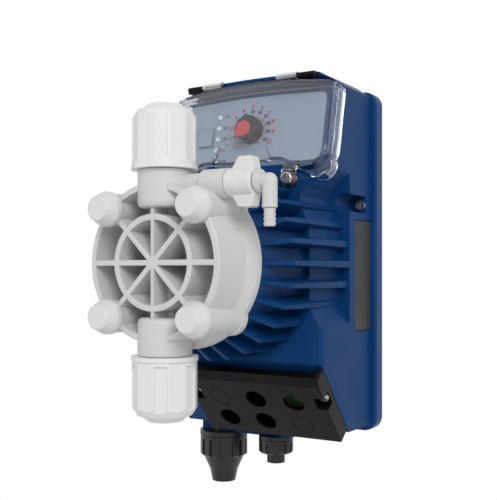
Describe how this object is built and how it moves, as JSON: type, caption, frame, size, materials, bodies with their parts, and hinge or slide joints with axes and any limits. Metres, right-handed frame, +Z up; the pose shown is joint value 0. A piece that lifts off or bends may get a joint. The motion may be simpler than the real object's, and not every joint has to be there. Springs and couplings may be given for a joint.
{
  "type": "diaphragm metering pump",
  "caption": "Wall-mounted solenoid diaphragm metering pump: blue finned case, hinged clear cover over a dial, white ribbed head with union nuts and bleed valve, black wiring cover",
  "frame": {"origin": "on the wall face of the rear cover, where the pump's axis meets it", "axes": "+Z up, +Y into the wall, so the pump's head faces -Y"},
  "size_m": [0.1348, 0.185, 0.276],
  "materials": {
    "case_plastic": "satin",
    "plate_plastic": "satin",
    "seal_rubber": "matte",
    "screw_steel": "satin",
    "plate_label": "satin",
    "panel_foil": "satin",
    "lens_white": "gloss",
    "board_green": "satin",
    "black_plastic": "satin",
    "red_plastic": "satin",
    "clear_plastic": "gloss",
    "ring_red": "matte",
    "terminal_green": "satin",
    "magnet_steel": "satin",
    "copper_winding": "satin",
    "bronze_sleeve": "satin",
    "bright_steel": "polished",
    "white_plastic": "satin",
    "diaphragm_white": "matte",
    "ball_ceramic": "polished"
  },
  "bodies": {
    "pump_case": {"rear_cover": "plate_plastic", "case_gasket": "seal_rubber", "housing_shell": "case_plastic", "case_screws": "screw_steel", "rating_plate": "plate_label", "control_panel": "panel_foil", "led_lenses": "lens_white", "circuit_board": "board_green", "potentiometer": "black_plastic", "hinge_blocks": "black_plastic", "hinge_pins": "screw_steel", "wiring_cover": "black_plastic", "wiring_cover_screws": "screw_steel", "chamber_liner": "black_plastic", "terminal_block": "terminal_green", "cable_gland_body": "black_plastic", "gland_seal": "seal_rubber", "cable_gland_nut": "black_plastic", "signal_socket": "black_plastic", "signal_socket_cap": "black_plastic", "solenoid_yoke": "magnet_steel", "solenoid_coil": "copper_winding", "armature_guide": "bronze_sleeve", "return_spring": "screw_steel", "diaphragm_backplate": "white_plastic", "diaphragm": "diaphragm_white", "pump_head": "white_plastic", "head_bolts": "screw_steel", "bolt_caps": "white_plastic", "valve_cartridges": "white_plastic", "valve_rings": "seal_rubber", "discharge_nut": "white_plastic", "suction_nut": "white_plastic", "hose_nipples": "white_plastic", "clamp_rings": "white_plastic"},
    "cover": {"clear_cover": "clear_plastic", "cover_screws": "screw_steel", "cover_screw_rings": "ring_red"},
    "knob": {"adjust_knob": "black_plastic", "knob_pointer": "red_plastic", "knob_shaft": "screw_steel"},
    "key": {"select_key": "panel_foil"},
    "armature_set": {"armature": "bright_steel", "push_rod": "bright_steel", "pressure_disc": "bright_steel"},
    "bleed_valve": {"bleed_knob": "white_plastic"},
    "elbow": {"bleed_elbow": "white_plastic"},
    "upper_ball": {"discharge_ball": "ball_ceramic"},
    "lower_ball": {"suction_ball": "ball_ceramic"}
  },
  "joints": [
    {"name": "cover_hinge", "type": "hinge", "parent": "pump_case", "child": "cover", "pos_m": [0, -0.07152, 0.11891], "axis": [-1, 0, 0], "range_deg": [0, 110]},
    {"name": "knob_turn", "type": "hinge", "parent": "pump_case", "child": "knob", "pos_m": [0, -0.0662, 0.087], "axis": [0, 0.9763, -0.2164], "range_deg": [0, 300]},
    {"name": "key_press", "type": "slide", "parent": "pump_case", "child": "key", "axis": [0, 0.9763, -0.2164], "range_m": [0, 0.0008], "stiffness_N_per_m": 600, "springref_m": -0.0008},
    {"name": "armature_stroke", "type": "slide", "parent": "pump_case", "child": "armature_set", "axis": [0, -1, 0], "range_m": [0, 0.00125], "stiffness_N_per_m": 8000, "springref_m": -0.001, "deforming": ["return_spring", "diaphragm"]},
    {"name": "bleed_valve_turn", "type": "hinge", "parent": "pump_case", "child": "bleed_valve", "pos_m": [0.05, -0.1624, 0.0424], "axis": [1, 0, 0], "range_deg": [0, 90]},
    {"name": "bleed_elbow_swivel", "type": "hinge", "parent": "bleed_valve", "child": "elbow", "pos_m": [0.06, -0.1624, 0.0424], "axis": [1, 0, 0], "continuous": true},
    {"name": "discharge_ball_lift", "type": "slide", "parent": "pump_case", "child": "upper_ball", "axis": [0, 0, 1], "range_m": [0, 0.0015]},
    {"name": "suction_ball_lift", "type": "slide", "parent": "pump_case", "child": "lower_ball", "axis": [0, 0, 1], "range_m": [0, 0.0015]}
  ]
}
